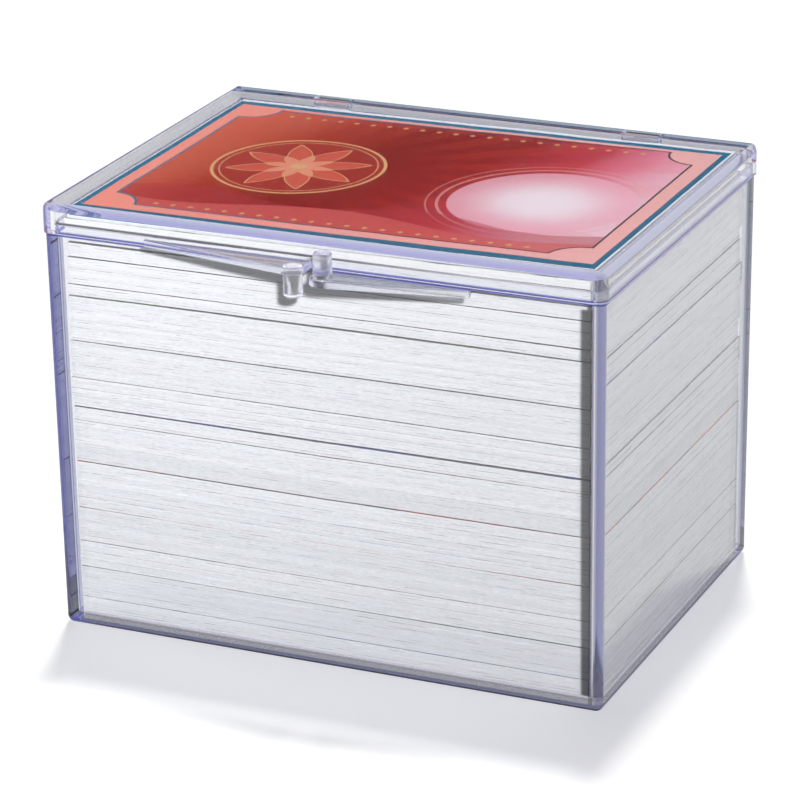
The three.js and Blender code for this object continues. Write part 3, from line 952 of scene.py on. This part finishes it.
def generic_print():
    """The top card's print: star medallion, rays, round pale sun, low hills and a ruled border."""
    tree, _, out = group("generic card print", [], [("Colour", "Color"), ("Gilt", "Float")])
    place = split(tree, position(tree))
    x = calc(tree, "DIVIDE", place["X"], MM)
    y = calc(tree, "DIVIDE", place["Y"], MM)
    across, deep = size(tree, x), size(tree, y)
    half_x, half_y = CARD_WIDTH / MM / 2, CARD_DEPTH / MM / 2

    def least(a, b):
        return calc(tree, "MINIMUM", a, b)

    def away(cx, cy, from_x=x, from_y=y):
        dx, dy = minus(tree, from_x, cx), minus(tree, from_y, cy)
        return calc(tree, "SQRT", plus(tree, times(tree, dx, dx), times(tree, dy, dy)))

    def line(distance, at, width):
        off = size(tree, minus(tree, distance, at))
        return fade(tree, off, width / 2 + PRINT_SOFT, width / 2 - PRINT_SOFT)

    def below(distance):
        """1 where a distance is under 0."""
        return fade(tree, distance, PRINT_SOFT, -PRINT_SOFT)

    def wash(under, mask, strength, over):
        """A colour laid over another at a strength."""
        return paint(tree, times(tree, mask, strength), under, over)

    def hill(pace, shift, height, middle):
        """1 below a rolling line."""
        wave = calc(tree, "SINE", plus(tree, times(tree, x, pace), shift))
        return below(minus(tree, y, plus(tree, times(tree, wave, height), middle)))

    # The field's colours, from left to right along a slant
    slope = plus(tree, x, times(tree, y, -0.25))
    ramp = node(tree, "ValToRGB", fade(tree, slope, -46, 46))
    stops = ramp.color_ramp.elements
    stops[0].position, stops[0].color = 0.0, FIELD_LEFT
    stops[1].position, stops[1].color = 1.0, FIELD_RIGHT
    for at, colour in FIELD_STOPS:
        stops.new(at).color = colour

    # Rays from the star
    star_x, star_y = STAR
    radius = away(star_x, star_y)
    angle = calc(tree, "ARCTAN2", minus(tree, y, star_y), minus(tree, x, star_x))

    def points(count, turn):
        """From 0 between a star's points to 1 at them."""
        swept = times(tree, plus(tree, angle, turn), count / math.pi / 2)
        return times(tree, calc(tree, "PINGPONG", swept, 0.5), 2)

    rays = both(tree, fade(tree, points(28, 0), 0.44, 0.56), fade(tree, radius, 15, 30))
    field = wash(ramp.outputs[0], rays, 0.12, RAY_RED)

    # The sun with its halos, and the hills before it
    sun = away(*SUN)
    field = wash(field, fade(tree, sun, SUN_RADIUS + 0.2, SUN_RADIUS - 0.1), 0.75, SUN_PINK)
    glow = both(tree, fade(tree, sun, 14.5, 3), 0.9, fade(tree, sun, SUN_RADIUS, SUN_RADIUS - 0.3))
    field = paint(tree, glow, field, SUN_WHITE)
    for at, width, strength in ((16.6, 0.5, 0.5), (18.4, 0.3, 0.35)):
        field = wash(field, line(sun, at, width), strength, HALO_SALMON)
    field = wash(field, hill(0.16, 0.0, 2.2, -17.0), 0.55, FAR_HILL)
    field = wash(field, hill(0.11, 2.0, 2.4, -21.0), 0.7, NEAR_HILL)

    # The medallion: a disc, two rings and a star on a star
    field = wash(field, fade(tree, radius, RING + 0.1, RING - 0.1), 0.8, DISC_RED)
    big = minus(tree, radius, plus(tree, times(tree, points(8, 0), 6.6), 5.2))
    small = minus(tree, radius, plus(tree, times(tree, points(8, math.pi / 8), 3.4), 2.6))
    field = paint(tree, below(big), field, BIG_STAR_RED)
    field = paint(tree, below(small), field, SMALL_STAR_SALMON)

    # All that is gilt: rings, the stars' outlines, the hub and two rows of beads
    along = calc(tree, "PINGPONG", plus(tree, x, 80), BEAD_PACE)
    row = plus(tree, along, size(tree, minus(tree, deep, BEAD_ROW)))
    beads = both(tree, fade(tree, row, 0.65, 0.5), fade(tree, across, ROW_REACH, ROW_REACH - 0.2))
    gilt = line(radius, RING, 0.55)
    for shown in (
        times(tree, line(radius, INNER_RING, 0.25), 0.8), line(big, 0, 0.45), line(small, 0, 0.3),
        fade(tree, radius, 1.5, 1.4), times(tree, beads, 0.85),
    ):
        gilt = most(tree, gilt, shown)
    field = paint(tree, gilt, field, GILT_INK)

    # The border, with scalloped corners, and the line that frames the field
    inset = least(minus(tree, half_x, across), minus(tree, half_y, deep))
    scallop = minus(tree, away(half_x - BORDER, half_y - BORDER, across, deep), SCALLOP)
    frame_line = least(minus(tree, inset, BORDER), scallop)
    frame_line = least(frame_line, plus(tree, y, half_y - FRONT_BORDER))
    border = paint(tree, fade(tree, x, -40, 44), BORDER_LEFT, BORDER_RIGHT)
    art = paint(tree, fade(tree, frame_line, -PRINT_SOFT, PRINT_SOFT), border, field)
    frame_ink = paint(tree, fade(tree, x, -30, 20), FRAME_LEFT, FRAME_RIGHT)
    art = paint(tree, line(frame_line, 0, 0.4), art, frame_ink)

    # The teal rule round the border, and the unprinted edge at the left and the rear
    pale = least(plus(tree, x, half_x - 0.35), minus(tree, half_y - 1, y))
    pale = least(inset, pale)
    rule = least(least(pale, plus(tree, y, half_y - 1)), minus(tree, half_y - 1.5, y))
    art = paint(tree, fade(tree, rule, *RULE), art, RULE_TEAL)
    art = paint(tree, fade(tree, pale, 0.15, 0.05), art, PALE_EDGE)
    feed(tree, out["Colour"], art)
    feed(tree, out["Gilt"], gilt)
    return tree


def printed_card(edges):
    """The top card: semi-gloss print on its upper face, cut card at its edges and white card below."""
    material, tree, out = new_material("printed_card")
    cut = use_group(tree, edges)
    art = use_group(tree, generic_print())
    up = facing_way(tree)["Z"]
    colour = paint(tree, fade(tree, up, 0.35, 0.6), cut["Colour"], art["Colour"])
    mottle = speckle(tree, position(tree), 2400.0, 2.0, 0.5)
    rough = minus(tree, 0.28, times(tree, art["Gilt"], 0.08))
    bump = node(tree, "Bump", 0.15, 0.00003, None, plus(tree, mottle, art["Gilt"]))
    paper = node(tree, "BsdfPrincipled", colour, 0, rough, CARD_IOR, 1, bump.outputs[0])
    paper.inputs["Specular IOR Level"].default_value = 0.01
    feed(tree, out.inputs["Surface"], paper.outputs[0])
    return material


# The pieces, dressed and set on their bodies
plastic = clear_plastic()
edges = cut_edges()
stock = card_stock(edges)
print_finish = printed_card(edges)

for shell, node_name, body in (
    (base_shell(), "base_shell", "case_base"),
    (lid_shell(), "lid_shell", "lid"),
):
    smooth_plastic(shell)
    shell.data.materials.append(plastic)
    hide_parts(node_name)
    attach(shell, body)

for number, cards in enumerate(card_stack(), 1):
    top = number > len(PACKETS)
    cards.data.materials.append(print_finish if top else stock)
    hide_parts("top_card" if top else "card_packet_%02d" % number)
    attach(cards, "case_base")

# The studio: a pale floor, an upper lamp that casts the shadow, a key lamp and a rear lamp
FLOOR_HALF = 4
LAMP_ANGLE = 0.08
UPPER_LEVEL = 0.72
KEY_LEVEL = 1.57
REAR_LEVEL = 0.75
KEY_FROM = (0.46, -0.78, 0.43)
UPPER_FROM = (-0.1, 0.3, 0.95)
REAR_FROM = (-0.68, 0.71, 0.18)
FLOOR_COLOUR = (0.56, 0.56, 0.5, 1)
FLOOR_BOUNCE = (0.1, 0.1, 0.1, 1)
FLOOR_GLOW = (0.59, 0.59, 0.64, 1)
FLOOR_MIRRORED = 0.7

# The room: soft light that grows to the left, a strip of light at the far left, a glint about the key
# lamp and a dark patch behind the object. Each pair says where it starts and is full, as a cosine.
ROOM_LEVEL = 0.13
ROOM_SIDE = (0.5, -0.5)
LEFT_LEVEL = 3
LEFT_STRIP = (-0.85, -0.97)
GLINT_LEVEL = 4
GLINT_ROUND = (0.984, 0.994)
PATCH_TOWARDS = (-0.379, 0.854, 0.357)
PATCH_ROUND = (0.89, 0.955)


def studio_floor():
    """A matt floor that also glows, so that it looks near white and still takes a shadow."""
    bm = bmesh.new()
    bmesh.ops.create_grid(bm, x_segments=1, y_segments=1, size=FLOOR_HALF)
    made = solid("studio_floor", bm)
    material, tree, out = new_material("studio_floor")
    path = node(tree, "LightPath").outputs
    seen = calc(tree, "LESS_THAN", path["Diffuse Depth"], 0.5)
    mirrored = times(tree, path["Is Reflection Ray"], FLOOR_MIRRORED)
    glow = node(tree, "Emission", FLOOR_GLOW, both(tree, seen, outside(tree, mirrored)))
    matt = node(tree, "BsdfDiffuse", paint(tree, seen, FLOOR_BOUNCE, FLOOR_COLOUR))
    surface = node(tree, "AddShader", glow.outputs[0], matt.outputs[0])
    feed(tree, out.inputs["Surface"], surface.outputs[0])
    made.data.materials.append(material)
    return made


def lamp(name, towards, level):
    """A far lamp in a direction, under which a surface that faces it shows level times its colour."""
    light = bpy.data.lights.new(name, "SUN")
    light.energy = level * math.pi
    light.angle = LAMP_ANGLE
    light.cycles.use_multiple_importance_sampling = False
    made = bpy.data.objects.new(name, light)
    made.rotation_euler = Vector(towards).to_track_quat("Z", "Y").to_euler()
    bpy.context.scene.collection.objects.link(made)
    return made


def room():
    """White where the camera looks, softer light for the object and a dark patch that the lid mirrors.

    Rays that the plastic has turned many times don't see the patch, or the card would look hazy.
    """
    world = bpy.data.worlds.new("studio_room")
    world.use_nodes = True
    world.cycles.sampling_method = "NONE"
    tree = world.node_tree
    tree.nodes.clear()
    path = node(tree, "LightPath").outputs
    way = node(tree, "TexCoord").outputs["Generated"]
    sideways = split(tree, way)["X"]

    def towards(place):
        aim = tuple(Vector(place).normalized())
        return node(tree, "VectorMath", way, aim, operation="DOT_PRODUCT").outputs[1]

    def either(mask, under, over):
        return node(tree, "Mix", mask, None, under, over, data_type="FLOAT").outputs[0]

    early = calc(tree, "LESS_THAN", path["Ray Depth"], TRAPPED_AFTER)
    mirrored = calc(tree, "GREATER_THAN", path["Glossy Depth"], 0.5)
    shallow = calc(tree, "LESS_THAN", path["Transmission Depth"], 2.5)
    shown = both(tree, early, most(tree, mirrored, shallow))
    patch = both(tree, fade(tree, towards(PATCH_TOWARDS), *PATCH_ROUND), shown)
    glint = times(tree, fade(tree, towards(KEY_FROM), *GLINT_ROUND), GLINT_LEVEL)
    white = plus(tree, outside(tree, patch), glint)
    white = either(path["Is Camera Ray"], white, 1.0)
    from_left = times(tree, fade(tree, sideways, *LEFT_STRIP), LEFT_LEVEL)
    soft = plus(tree, times(tree, fade(tree, sideways, *ROOM_SIDE), ROOM_LEVEL), from_left)
    level = either(calc(tree, "LESS_THAN", path["Diffuse Depth"], 0.5), soft, white)
    glow = node(tree, "Background", (1, 1, 1, 1), level)
    made = tree.nodes.new("ShaderNodeOutputWorld")
    feed(tree, made.inputs["Surface"], glow.outputs[0])
    bpy.context.scene.world = world


floor = studio_floor()
lamp("upper_lamp", UPPER_FROM, UPPER_LEVEL)
spared = bpy.data.collections.new("lit_by_upper_lamp_only")
spared.objects.link(floor)
spared.collection_objects[0].light_linking.link_state = "EXCLUDE"
for side_lamp in (lamp("key_lamp", KEY_FROM, KEY_LEVEL), lamp("rear_lamp", REAR_FROM, REAR_LEVEL)):
    side_lamp.light_linking.receiver_collection = spared
room()

# The camera, at the photograph's viewing angle, and the bounces that light needs inside the shells
CAMERA_PLACE = (0.2385535, -0.5411776, 0.2595658)
CAMERA_RIGHT = (0.91608661, 0.40073199, -0.01411375)
CAMERA_UP = (-0.13119242, 0.33279952, 0.93382709)
CAMERA_BACK = (0.37891144, -0.85361487, 0.35744618)
CAMERA_LENS = 174.248
CAMERA_SENSOR = 36
PLASTIC_BOUNCES = 9

camera = bpy.data.objects.new("camera", bpy.data.cameras.new("camera"))
camera.data.lens = CAMERA_LENS
camera.data.sensor_width = CAMERA_SENSOR
turn = Matrix((CAMERA_RIGHT, CAMERA_UP, CAMERA_BACK)).transposed().to_4x4()
camera.matrix_world = Matrix.Translation(CAMERA_PLACE) @ turn
bpy.context.scene.collection.objects.link(camera)
bpy.context.scene.camera = camera
bpy.context.scene.view_settings.view_transform = "Standard"
bpy.context.scene.cycles.glossy_bounces = PLASTIC_BOUNCES
